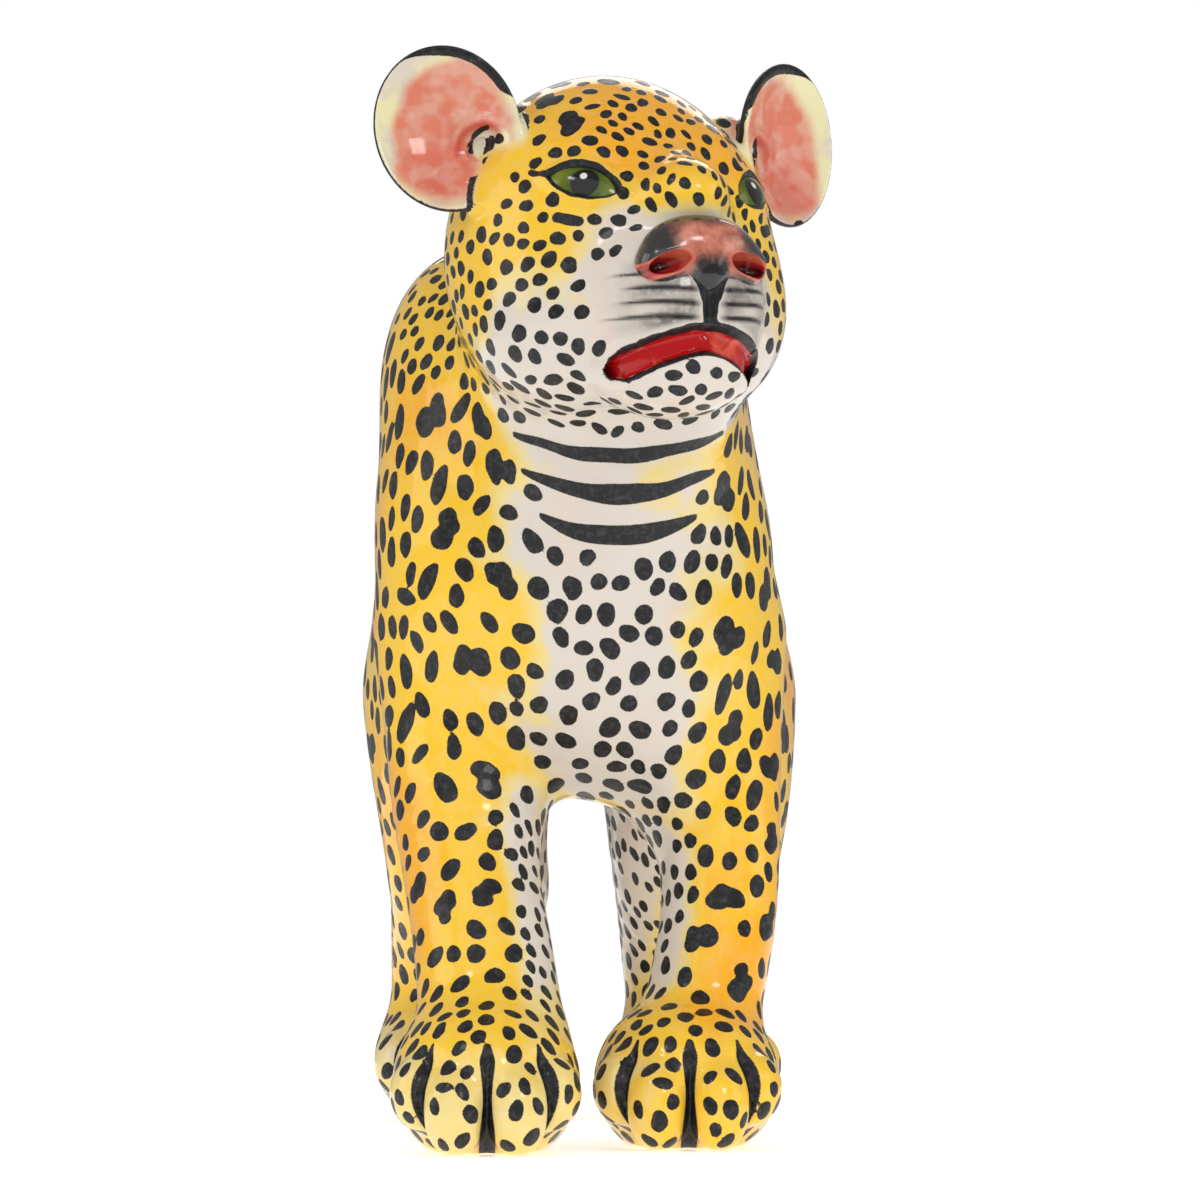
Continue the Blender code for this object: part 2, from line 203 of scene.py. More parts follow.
def smooth_run(run, steps=4):
    """Catmull-Rom points along a limb's (x, y, z, radius) run."""
    run = np.asarray(run, float)
    ends = np.vstack([2 * run[0] - run[1], run, 2 * run[-1] - run[-2]])
    points = []
    for i in range(1, len(ends) - 2):
        a, b, c, d = ends[i - 1 : i + 3]
        for t in np.arange(steps) / steps:
            bend = (2 * a - 5 * b + 4 * c - d) * t**2 + (3 * b - a - 3 * c + d) * t**3
            points.append(0.5 * (2 * b + (c - a) * t + bend))
    return np.array(points + [run[-1]], np.float32)


def limb(p, run):
    """A round limb of changing radius."""
    found = None
    points = smooth_run(run)
    for a, b in zip(points, points[1:]):
        along = b[:3] - a[:3]
        t = np.clip((p - a[:3]) @ along / (along @ along), 0, 1)
        d = length(p - a[:3] - t[:, None] * along) - (a[3] + t * (b[3] - a[3]))
        found = d if found is None else np.minimum(found, d)
    return found


def to_head(p):
    return ((p - HEAD_CENTRE) @ HEAD_AXES).astype(np.float32)


def from_head(q):
    return np.asarray(q) @ HEAD_AXES.T + HEAD_CENTRE


def bump_at(p, centre, radius, height):
    """A soft round swelling (or, with a negative height, a hollow)."""
    d = length(p - np.asarray(centre, np.float32)) / radius
    return height * np.exp(-d * d)


def ear_axes(side):
    turn = Euler((0, 0, math.radians(side * EAR_OUTWARD_DEG))).to_matrix()
    lean = Euler((0, math.radians(side * EAR_LEAN_DEG), 0)).to_matrix()
    return np.array(turn @ lean, np.float32)


def to_ear(q, side):
    x, y, z = EAR_PLACE
    return (q - np.array((side * x + EARS_ASIDE, y, z), np.float32)) @ ear_axes(side)


def ear_reach(e):
    """0 at an ear's middle and 1 at its rim."""
    return np.sqrt((e[:, 0] / EAR_HALF[0]) ** 2 + (e[:, 2] / EAR_HALF[1]) ** 2)


def ear_field(q, side):
    """A thin cupped disc with a thick root, and a fold round a hollow by it."""
    e = to_ear(q, side)
    reach = ear_reach(e)
    rim = (reach - 1) * EAR_HALF[0]
    sheet = np.abs(e[:, 1] + EAR_CUP * reach**2) - EAR_THICKNESS / 2
    ear = blend_max(sheet * 0.85, rim, 2.2)
    root = ellipsoid(e, (-side * 15, 5, -13), (15, 9, 19))
    ear = blend_min(ear, root, 6)
    turn = np.arctan2(e[:, 2] + 9, -side * (e[:, 0] + side * 9))
    around = np.hypot(e[:, 0] + side * 9, e[:, 2] + 9)
    ridge = np.exp(-(((around - 9.5) / 2.0) ** 2)) * soft_step(turn, -1.2, -0.4)
    ridge = ridge * soft_step(2.9 - turn, 0, 0.7)
    front = np.exp(-(((e[:, 1] + 2) / 8) ** 2))
    ear = ear - 2.6 * front * ridge
    return ear + 4.5 * np.exp(-((around / 6.5) ** 2)) * np.exp(-(((e[:, 1] + 3) / 9) ** 2))


def both_sides(q):
    """Head points folded on to the left half."""
    folded = q.copy()
    folded[:, 0] = np.abs(q[:, 0])
    return folded


def to_eye(q):
    """(along, up, outward) of the nearer eye's own frame."""
    folded = q.copy()
    folded[:, 0] = np.abs(q[:, 0] - EYES_ASIDE)
    folded[:, 1] = q[:, 1] + np.where(q[:, 0] < EYES_ASIDE, EYE_STAGGER, -EYE_STAGGER)
    out = Vector(EYE_OUTWARD).normalized()
    along = Vector(EYE_ALONG)
    along = (along - out * along.dot(out)).normalized()
    up = along.cross(out)
    up = up if up.z > 0 else -up
    axes = np.array((along, up, out), np.float32).T
    return (folded - np.array(EYE_MIDDLE, np.float32)) @ axes


def almond(e):
    """Signed distance, across the skin, to the eye's pointed outline."""
    found = []
    for rise, sign in ((LID_TOP, 1), (LID_BOTTOM, -1)):
        radius = (LID_LENGTH**2 + rise**2) / (2 * rise)
        found.append(np.hypot(e[:, 0], sign * e[:, 1] + radius - rise) - radius)
    return np.maximum(*found)


def mouth(q):
    """Signed distance, seen from the front, to the downturned mouth's outline."""
    share = np.clip(np.abs(q[:, 0]) / MOUTH_REACH, 0, 1)
    middle = MOUTH_MIDDLE_Z - MOUTH_DROP * share**1.7
    slope = 1.7 * MOUTH_DROP / MOUTH_REACH * share**0.7 * (share < 1)
    past = np.maximum(np.abs(q[:, 0]) - MOUTH_REACH, 0)
    across = np.abs(q[:, 2] - middle) / np.sqrt(1 + slope**2)
    return np.hypot(across, past) - MOUTH_THICK * (1 + 0.15 * share)


def head_field(p):
    q = to_head(p)
    folded = both_sides(q)
    d = lumps(q, HEAD, BLEND["head"])
    for place, radius, height in SWELLINGS:
        d = d - bump_at(folded, place, radius, height)
    eye = to_eye(q)
    lid = almond(eye)
    near = np.exp(-((eye[:, 2] / 14) ** 2))
    d = d - near * LID_HEIGHT * np.exp(-(((lid - 1.2) / 1.7) ** 2))
    d = d + near * SOCKET_DEPTH * np.clip(-lid / 3, 0, 1)
    front = np.clip((FACE_Y - q[:, 1]) / 10, 0, 1)
    lips = mouth(q)
    d = d + front * MOUTH_DEPTH * np.clip(0.5 - lips / 2.4, 0, 1)
    d = d - front * LIP_HEIGHT * np.exp(-(((lips - 1.8) / 1.6) ** 2))
    above_lip = np.clip((q[:, 2] + 37) / 3, 0, 1) * np.clip((-12 - q[:, 2]) / 3, 0, 1)
    d = d + front * 1.1 * np.exp(-((q[:, 0] / 1.6) ** 2)) * above_lip
    d = np.maximum(d, 0.8 - ellipsoid(tilted_nostril(folded), (0, 0, 0), NOSTRIL_SIZE))
    for side in (-1, 1):
        d = blend_min(d, ear_field(q, side), BLEND["ear"])
    return d


def nose_field(p):
    """The raised pad, with two slanting nostrils bored into it."""
    folded = both_sides(to_head(p))
    d = ellipsoid(folded, NOSE_CENTRE, NOSE_SIZE)
    d = blend_min(d, ellipsoid(folded, (14, -69, -12), (8.5, 10, 7.5)), 4)
    d = blend_min(d, ellipsoid(folded, (0, -70, -15), (7, 9, 8)), 5)
    return blend_max(d, -ellipsoid(tilted_nostril(folded), (0, 0, 0), NOSTRIL_SIZE), 1.2)


def tilted_nostril(folded):
    turn = np.array(Euler((math.radians(-10), math.radians(14), math.radians(-24))).to_matrix(), np.float32)
    return (folded - np.array(NOSTRIL, np.float32)) @ turn


def eye_field(p):
    eye = to_eye(to_head(p))
    return ellipsoid(eye, (0, 0, -EYE_SUNK), EYE_SIZE)


def tail_field(p):
    return limb(p, TAIL)


def leg_field(p, name):
    run, (paw_centre, paw_half) = LEGS[name]
    d = limb(p, run)
    paw = ellipsoid(p, paw_centre, paw_half)
    x, y, _ = paw_centre
    for aside, forward, height, half_height in TOES:
        toe = ellipsoid(p, (x + aside, y - forward, height), (TOE_RADIUS, TOE_HALF_LENGTH, half_height))
        paw = blend_min(paw, toe, BLEND["toe"])
    beside = np.maximum(toe_strokes(p, name) + GROOVE_DEPTH, 0)
    groove = GROOVE_DEPTH * np.exp(-((beside / GROOVE_SOFTNESS) ** 2))
    paw = paw + groove * soft_step(STROKE_TOP - p[:, 2], 0, 8)
    return blend_min(d, paw, BLEND["paw"])


def clay(p, legs=tuple(LEGS)):
    """The whole glazed surface but for the tail, the nose pad and the eyes."""
    d = lumps(p, TORSO, BLEND["torso"])
    near = p[:, 1] < 0
    if near.any():
        front = p[near]
        for run in (NECK, THROAT):
            d[near] = blend_min(d[near], limb(front, run), BLEND["neck"])
        high = near & (p[:, 2] > 190)
        if high.any():
            d[high] = blend_min(d[high], head_field(p[high]), BLEND["joint"])
    low = p[:, 2] < 205
    for name in legs:
        if low.any():
            d[low] = blend_min(d[low], leg_field(p[low], name), BLEND["joint"])
    return blend_max(d, -p[:, 2], BLEND["sole"])


# ---- from field to mesh ----
CORNERS = np.array([(i, j, k) for i in (0, 1) for j in (0, 1) for k in (0, 1)])
EDGES = [(a, b) for a in range(8) for b in range(a + 1, 8) if np.abs(CORNERS[a] - CORNERS[b]).sum() == 1]
AXES = np.eye(3, dtype=int)
BLOCK = 8  # grid cells along a side


def in_chunks(field, points, size=400000):
    return np.concatenate([field(points[i : i + size]) for i in range(0, len(points), size)])


def sampled(field, low, high, step):
    """The field on a grid, worked out only in the blocks that its surface crosses."""
    counts = -(-np.ceil((high - low) / step).astype(int) // BLOCK) + 1
    blocks = np.stack(np.meshgrid(*[np.arange(n) for n in counts], indexing="ij"), -1).reshape(-1, 3)
    middle = low + (blocks + 0.5) * BLOCK * step
    depth = in_chunks(field, middle.astype(np.float32))
    wanted = np.abs(depth) < BLOCK * step * 1.25 + 3
    grid = depth.reshape(counts).astype(np.float32)
    for axis in range(3):
        grid = np.repeat(grid, BLOCK, axis)
    offsets = np.stack(np.meshgrid(*[np.arange(BLOCK)] * 3, indexing="ij"), -1).reshape(-1, 3)
    cells = (blocks[wanted][:, None, :] * BLOCK + offsets[None]).reshape(-1, 3)
    values = in_chunks(field, (low + cells * step).astype(np.float32))
    grid[cells[:, 0], cells[:, 1], cells[:, 2]] = values
    return grid


def surface_net(grid, low, step):
    """Vertices and outward quads of the grid's zero surface."""
    inside = grid < 0
    cell_counts = np.array(grid.shape) - 1
    windows = [tuple(slice(s, s + count) for s, count in zip(corner, cell_counts)) for corner in CORNERS]
    total = sum(inside[window].astype(np.int8) for window in windows)
    crossed = (total > 0) & (total < 8)
    cells = np.argwhere(crossed)
    index = np.full(crossed.shape, -1, np.int64)
    index[crossed] = np.arange(len(cells))
    value = np.stack([grid[tuple((cells + corner).T)] for corner in CORNERS], 1)
    place = np.zeros((len(cells), 3))
    hits = np.zeros(len(cells))
    for a, b in EDGES:
        fa, fb = value[:, a], value[:, b]
        cross = (fa < 0) != (fb < 0)
        t = np.where(cross, fa / np.where(cross, fa - fb, 1), 0)[:, None]
        place += cross[:, None] * (CORNERS[a] + t * (CORNERS[b] - CORNERS[a]))
        hits += cross
    points = low + (cells + place / hits[:, None]) * step
    quads = []
    for axis in range(3):
        u, v = (axis + 1) % 3, (axis + 2) % 3
        here = inside[tuple(slice(0, n - s) for n, s in zip(inside.shape, AXES[axis]))]
        there = inside[tuple(slice(s, n) for n, s in zip(inside.shape, AXES[axis]))]
        edges = np.argwhere(here != there)
        edges = edges[(edges[:, u] > 0) & (edges[:, v] > 0)]
        edges = edges[(edges[:, u] < crossed.shape[u]) & (edges[:, v] < crossed.shape[v])]
        around = ((1, 1), (0, 1), (0, 0), (1, 0))
        ring = [index[tuple((edges - a * AXES[u] - b * AXES[v]).T)] for a, b in around]
        ring = np.stack(ring, 1)
        outward = here[tuple(edges.T)]
        ring[~outward] = ring[~outward][:, ::-1]
        quads.append(ring)
    return points, np.concatenate(quads)


def gradient(field, points, reach=0.25):
    slopes = []
    for axis in range(3):
        offset = np.zeros(3)
        offset[axis] = reach
        ahead = in_chunks(field, (points + offset).astype(np.float32))
        behind = in_chunks(field, (points - offset).astype(np.float32))
        slopes.append((ahead - behind) / (2 * reach))
    return np.stack(slopes, 1)


def settle(field, points, rounds=2):
    """Moves vertices on to the surface."""
    for _ in range(rounds):
        slope = gradient(field, points)
        depth = in_chunks(field, points.astype(np.float32))
        points = points - slope * (depth / np.maximum((slope**2).sum(1), 0.05))[:, None]
    return points


def plane(point, normal):
    """A cutting plane as (point, outward normal): what lies beyond it is cut off."""
    return np.asarray(point, float), np.asarray(normal, float)


def closed_piece(name, field, low, high, step, cuts=()):
    """A closed mesh of the field, trimmed flat on its seam planes."""
    def trimmed(p):
        d = field(p)
        for point, normal in cuts:
            d = np.maximum(d, (p - point.astype(np.float32)) @ normal.astype(np.float32) - 2 * step)
        return d

    low = np.asarray(low, float) - 2 * step
    grid = sampled(trimmed, low, np.asarray(high, float) + 2 * step, step)
    points, quads = surface_net(grid, low, step)
    deep = np.ones(len(points), bool)
    for point, normal in cuts:
        deep &= (points - point) @ normal < 1.2 * step
    points[deep] = settle(field, points[deep])
    mesh = bpy.data.meshes.new(name)
    mesh.from_pydata(points.tolist(), [], quads.tolist())
    if cuts:
        shape = bmesh.new()
        shape.from_mesh(mesh)
        for point, normal in cuts:
            everything = shape.verts[:] + shape.edges[:] + shape.faces[:]
            cut = bmesh.ops.bisect_plane(
                shape, geom=everything, dist=1e-4, plane_co=point, plane_no=normal, clear_outer=True
            )
            rim = [e for e in cut["geom_cut"] if isinstance(e, bmesh.types.BMEdge) and e.is_boundary]
            bmesh.ops.edgeloop_fill(shape, edges=rim)
        bmesh.ops.triangulate(shape, faces=[f for f in shape.faces if len(f.verts) > 4])
        shape.to_mesh(mesh)
        shape.free()
    mesh.update()
    return mesh


def rows_of(elements, key, width, kind=np.float32):
    """One property of each vertex, loop or face, as rows."""
    values = np.empty(len(elements) * width, kind)
    elements.foreach_get(key, values)
    return values.reshape(-1, width)


def shade_as_field(mesh, field, cuts=()):
    """Custom normals from the field, so that two pieces meet with no line in the gloss."""
    points = rows_of(mesh.vertices, "co", 3).astype(float)
    slope = gradient(field, points)
    normals = slope / np.maximum(np.linalg.norm(slope, axis=1), 1e-9)[:, None]
    mesh.shade_smooth()
    corner_normals = normals[rows_of(mesh.loops, "vertex_index", 1, np.int32)[:, 0]]
    face_size = rows_of(mesh.polygons, "loop_total", 1, np.int32)[:, 0]
    face_normal = np.repeat(rows_of(mesh.polygons, "normal", 3), face_size, axis=0)
    face_middle = np.repeat(rows_of(mesh.polygons, "center", 3), face_size, axis=0)
    for point, normal in cuts:
        cap = (np.abs((face_middle - point) @ normal) < 0.05) & (face_normal @ normal > 0.99)
        corner_normals[cap] = face_normal[cap]
    mesh.normals_split_custom_set(corner_normals.tolist())
    return points, normals


# ---- the paint: where the ink and the washes lie ----
DEEP = 3.0  # the ink's distance is kept this far inside and outside its edge, in millimetres
CANDIDATES = 120000
SPOT_GAP = 1.25  # bare glaze between two spots
SPOT_CELL = 14.0  # neighbours are looked for in the cells next door too
BLOTCH_REACH = 2.15  # a blotch's room, in half-widths
NAPE_Y = -60.0  # the head's paint begins forward of this
WHISKER_GAP = 4.6


def soft_step(value, low, high):
    t = np.clip((value - low) / (high - low), 0, 1)
    return t * t * (3 - 2 * t)


def wave_noise(p, scale, seed, layers=5):
    """Smooth seeded noise from -1 to 1: a few crossing sine waves."""
    rng = np.random.default_rng(seed)
    total = np.zeros(len(p))
    for _ in range(layers):
        direction = rng.normal(size=3)
        direction /= np.linalg.norm(direction)
        frequency = 2 * math.pi / (scale * rng.uniform(0.7, 1.4))
        total += np.sin(p @ direction * frequency + rng.uniform(0, 2 * math.pi))
    return np.clip(total / (0.6 * layers), -1, 1)


def up_neck(p):
    """Height measured along the leaning neck."""
    return p[:, 2] - 0.55 * (p[:, 1] + 120)


def warmth(p, n):
    """0 is cream, 1 is yellow and 2 is orange."""
    q = to_head(p)
    head = soft_step(up_neck(p), 235, 262) * (p[:, 1] < NAPE_Y)
    drift = 9 * wave_noise(p, 55, SEED + 1) + 4 * wave_noise(p, 22, SEED + 2)
    x = p[:, 0]
    bib = 34 - 0.10 * np.abs(p[:, 2] - 165)
    chest = (np.abs(x - 10) - bib + drift) / 26
    front_facing = soft_step(-n[:, 1], -0.1, 0.45)
    body = 1 - front_facing * (1 - np.clip(0.5 + chest, 0, 1)) * soft_step(p[:, 2], 85, 125)
    belly = soft_step(-n[:, 2], 0.2, 0.75) * soft_step(p[:, 2], 90, 130)
    inward = soft_step(-n[:, 0] * np.sign(x), 0.15, 0.7)
    inward = inward * soft_step(150 - p[:, 2], 0, 40) * soft_step(p[:, 2], 30, 60)
    body = np.minimum(body, 1 - 0.9 * np.maximum(belly, inward))
    orange = np.clip(0.35 + 0.9 * wave_noise(p, 85, SEED + 3), 0, 1)
    body = body + orange * soft_step(body, 0.7, 1.0) * 0.8
    body = body + 0.5 * soft_step(n[:, 2], 0.3, 0.9) * (p[:, 2] > 200)
    body = body * (1 - np.where(x < 0, 0.66, 0.5) * soft_step(50 - p[:, 2], 0, 26))
    crown = soft_step(q[:, 2] + 0.25 * drift, 2, 34) * soft_step(40 - np.abs(q[:, 0]), -12, 22)
    side = soft_step(q[:, 2] + 0.55 * q[:, 1] + drift * 0.8, -52, -22)
    muzzle = soft_step(length(q - np.array((0, -56, -26), np.float32)) + 0.5 * drift, 27, 52)
    jaw = soft_step(q[:, 2] + 0.35 * q[:, 1] + drift, -46, -16)
    bridge = soft_step(q[:, 2] + 0.2 * drift, 2, 12) * soft_step(24 - np.abs(q[:, 0]), 0, 10)
    face = np.maximum(np.minimum(np.minimum(muzzle, jaw), side + 0.3), bridge)
    face = face + crown * (0.75 + 0.25 * wave_noise(p, 30, SEED + 4))
    return body * (1 - head) + face * head


def scatter(points, normals, want):
    """Spots laid by dart throwing, each an oval that keeps clear of its neighbours.

    want(points, normals, rng) gives each candidate's rank, whether it is allowed, and its shape:
    half-width, stretch, whether it is a blotch, and the direction it runs in.
    """
    rng = np.random.default_rng(SEED)
    order = rng.permutation(len(points))[:CANDIDATES]
    points, normals = points[order], normals[order]
    rank, allowed, shape = want(points, normals, rng)
    flow = shape[:, 3:]
    flow -= np.einsum("ij,ij->i", flow, normals)[:, None] * normals
    flow /= np.maximum(np.linalg.norm(flow, axis=1), 1e-6)[:, None]
    grown = shape[:, 0] * np.where(shape[:, 2] > 0, BLOTCH_REACH, 1)
    stretch = np.where(shape[:, 2] > 0, 1, shape[:, 1])
    halves = [grown * np.sqrt(stretch), grown / np.sqrt(stretch)]
    facts = np.column_stack([points, normals, flow, *halves]).tolist()
    cells = (points // SPOT_CELL).astype(int).tolist()
    around = [(i, j, k) for i in (-1, 0, 1) for j in (-1, 0, 1) for k in (-1, 0, 1)]
    taken = {}
    chosen = []
    for i in np.argsort(rank, kind="stable")[: int(allowed.sum())]:
        x, y, z = cells[i]
        near = [j for a, b, c in around for j in taken.get((x + a, y + b, z + c), ())]
        if not any(too_close(facts[i], facts[j]) for j in near):
            taken.setdefault((x, y, z), []).append(i)
            chosen.append(i)
    return points[chosen], normals[chosen], shape[chosen]


def too_close(one, other):
    """Whether two oval spots, as (place, normal, direction, half-length, half-width), all but touch."""
    gap = [a - b for a, b in zip(one[:3], other[:3])]
    apart = math.hypot(*gap)
    if apart >= one[9] + other[9] + SPOT_GAP or sum(a * b for a, b in zip(one[3:6], other[3:6])) < 0:
        return False
    reach = SPOT_GAP
    for spot in (one, other):
        lengthwise = min(abs(sum(a * b for a, b in zip(gap, spot[6:9]))) / max(apart, 1e-6), 1)
        crosswise = math.sqrt(1 - lengthwise**2)
        reach += spot[9] * spot[10] / math.hypot(spot[10] * lengthwise, spot[9] * crosswise)
    return apart < reach


def on_ears(q):
    """Whether each head point lies on an ear's sheet."""
    found = np.zeros(len(q), bool)
    for side in (-1, 1):
        e = to_ear(q, side)
        reach = ear_reach(e)
        found |= (reach < 1.2) & (np.abs(e[:, 1] + EAR_CUP * reach**2) < 7)
    return found


def toe_lines(p):
    """Whether each point is too near a stroke between the toes for a spot of its own."""
    found = np.zeros(len(p), bool)
    for name in LEGS:
        found |= (toe_strokes(p, name) < 2.9) & (np.abs(p[:, :2] - LEGS[name][1][0][:2]).max(1) < 45)
    return found


def spot_plan(p, n, rng):
    """For each candidate: when it is tried, whether it is allowed, and its spot's shape."""
    q = to_head(p)
    folded = both_sides(q)
    count = len(p)
    head = (up_neck(p) > 245) & (p[:, 1] < NAPE_Y)
    back = ~head & (p[:, 1] > -20)
    chest = ~head & (n[:, 1] < -0.3) & (np.abs(p[:, 0] - 10) < 36) & (p[:, 2] > 110)
    leg = ~head & (p[:, 2] < 115)
    inner = leg & (n[:, 0] * np.sign(p[:, 0]) < -0.4)
    paw = ~head & (p[:, 2] < 48)
    top = head & (folded[:, 2] > 34)
    bridge = head & (folded[:, 0] < 22) & (folded[:, 1] < -25) & (folded[:, 2] > 0)
    by_eye = head & (length(folded - np.array(EYE_MIDDLE, np.float32)) < 20)
    jaw = head & (folded[:, 2] < -38)
    long = ~(head | leg | chest) & (rng.random(count) < 0.10)
    regions = (  # where, half-width, stretch, share of blotches
        (~head, 3.7, 1.5, 0.009),
        (back, 3.8, 1.3, 0.011),
        (chest, 3.4, 1.2, 0),
        (leg, 3.25, 1.3, 0.008),
        (inner, 2.5, 1.3, 0),
        (paw, 2.9, 1.3, 0),
        (head, np.clip(2.55 - 0.010 * q[:, 2], 2.2, 2.85), 1.2, 0),
        (top, rng.choice((2.6, 3.3), count), 1.2, 0.015),
        (bridge, 2.1, 1.5, 0),
        (by_eye, 2.25, 1.2, 0),
        (jaw, 2.7, 1.5, 0),
        (long, 4.7, 1.9, 0),
    )
    radius, stretch, blotch = np.ones(count), np.ones(count), np.zeros(count)
    for where, width, pull, share in regions:
        radius = np.where(where, width, radius)
        stretch = np.where(where, pull, stretch)
        blotch = np.where(where, share, blotch)
    is_blotch = rng.random(count) < blotch
    radius = radius * rng.uniform(0.84, 1.16, count)
    pads = (folded[:, 0] < 33) & (q[:, 1] < -44) & (q[:, 2] < -8) & (q[:, 2] > -36) & (mouth(q) > 0)
    lips = (mouth(q) < 3.6) & (q[:, 1] < FACE_Y)
    lids = (almond(to_eye(q)) < 3.4) & (q[:, 1] < -15)
    nose = length((folded - np.array(NOSE_CENTRE)) / (np.array(NOSE_SIZE) + 5)) < 1
    face = head & (pads | lips | lids | nose | (face_ink(p)[0] < 2.6))
    bare = face | on_ears(q) | (p[:, 2] < 2) | (necklace(p) < 4.4) | toe_lines(p)
    rank = rng.random(count) + np.where(is_blotch, 0, np.where(long, 0.9, 1)) + 9 * bare
    down = np.array((0, 0, -1.0))
    flow = down - (n @ down)[:, None] * n
    away = p - from_head(np.array((0, -75, -5)))
    away = away - (away * n).sum(1)[:, None] * n
    flow[head] = away[head] / np.maximum(np.linalg.norm(away[head], axis=1), 1e-6)[:, None]
    across = np.cross(n, down)
    flow[jaw | chest & (p[:, 2] > 205)] = across[jaw | chest & (p[:, 2] > 205)]
    flow = flow + 0.35 * rng.normal(size=(count, 3))
    return rank, ~bare, np.column_stack([radius, stretch, is_blotch, flow])


NECKLACE = (  # height, half-length, bend, half-thickness
    (229, 34, 0.0068, 2.4),
    (216.5, 31, 0.0085, 3.0),
    (203, 25, 0.010, 3.2),
)
STAMP_CELL = 9.0
STAMP_REACH = 17.0
CELL_SPAN = 1024


def necklace(p):
    """Signed distance to the three brushed arcs across the throat."""
    nearest = np.full(len(p), 99.0)
    x = p[:, 0] - 12
    wobble = 0.5 * wave_noise(p, 16, SEED + 7)
    for z, reach, bend, thick in NECKLACE:
        share = np.clip(np.abs(x) / reach, 0, 1)
        line = z + bend * x * x + wobble
        past = np.maximum(np.abs(x) - reach, 0)
        d = np.hypot(p[:, 2] - line, past) - thick * np.sqrt(1 - share**2 * 0.85)
        nearest = np.where(p[:, 1] < -70, np.minimum(nearest, d), nearest)
    return nearest


def cell_code(p):
    """One whole number for the cell that each point lies in."""
    key = np.floor(p / STAMP_CELL).astype(np.int64) + CELL_SPAN // 2
    return (key[:, 0] * CELL_SPAN + key[:, 1]) * CELL_SPAN + key[:, 2]


def stamp_spots(p, n, seeds, seed_normals, shapes):
    """Each vertex's signed distance to the edge of the nearest spot."""
    rng = np.random.default_rng(SEED + 20)
    ink = np.full(len(p), DEEP)
    code = cell_code(p)
    order = np.argsort(code, kind="stable")
    sorted_code = code[order]
    near = range(-2, 3)
    steps = [(i * CELL_SPAN + j) * CELL_SPAN + k for i in near for j in near for k in near]
    low, high = p.min(0) - 15, p.max(0) + 15
    for seed, normal, (radius, stretch, is_blotch, *flow) in zip(seeds, seed_normals, shapes):
        phases = rng.uniform(0, 2 * math.pi, 3)
        rough = rng.uniform(0.5, 1.3)
        turn = rng.uniform(0, 2 * math.pi)
        lobe_size = rng.uniform(0.8, 1.15, 2)
        kink = rng.uniform(1.2, 2.2)
        if (seed < low).any() or (seed > high).any():
            continue
        along = np.array(flow)
        across = np.cross(normal, along)
        wanted = cell_code(seed[None])[0] + np.array(steps)
        starts = np.searchsorted(sorted_code, wanted)
        ends = np.searchsorted(sorted_code, wanted, side="right")
        members = [order[a:b] for a, b in zip(starts, ends) if b > a]
        if not members:
            continue
        members = np.concatenate(members)
        offset = p[members] - seed
        keep = (np.einsum("ij,ij->i", offset, offset) < STAMP_REACH**2) & (n[members] @ normal > 0.1)
        members, offset = members[keep], offset[keep]
        u, v = offset @ along, offset @ across
        lobes = [(0, 0, 1)]
        if is_blotch:
            lobes = [(0.9, turn, 1.2), (-1.05, turn, lobe_size[0]), (1.0, turn + kink, 0.82 * lobe_size[1])]
        squeeze = 1 if is_blotch else math.sqrt(stretch)
        found = np.full(len(members), DEEP)
        for offset_share, bearing, share in lobes:
            uu = (u - radius * offset_share * math.cos(bearing)) / squeeze
            vv = (v - radius * offset_share * math.sin(bearing)) * squeeze
            angle = np.arctan2(vv, uu)
            waves = ((0.09, 2), (0.04, 3), (0.02, 5))
            uneven = sum(size * np.cos(turns * angle + phase) for (size, turns), phase in zip(waves, phases))
            edge = 1 + rough * uneven
            found = blend_min(found, np.hypot(uu, vv) - radius * share * edge, 1.8 if is_blotch else 0.01)
        ink[members] = np.minimum(ink[members], found)
    return ink


def toe_strokes(p, name):
    """Signed distance to the strokes painted between one paw's toes."""
    centre = LEGS[name][1][0]
    x, y = p[:, 0] - centre[0], p[:, 1] - centre[1]
    angle = np.degrees(np.arctan2(x / 1.18, -y))
    reach = np.hypot(x, y)
    nearest = np.full(len(p), DEEP)
    for middle in TOE_STROKES_DEG:
        sideways = np.radians(np.abs(angle - middle)) * reach
        thick = (1.8 + 0.5 * np.sin(p[:, 2] / 5 + middle)) * np.clip((40 - p[:, 2]) / 9, 0.1, 1)
        past = np.maximum(p[:, 2] - STROKE_TOP, 0)
        d = np.hypot(sideways, past) - thick
        nearest = np.where((reach > 16) & (y < 4), np.minimum(nearest, d), nearest)
    return nearest


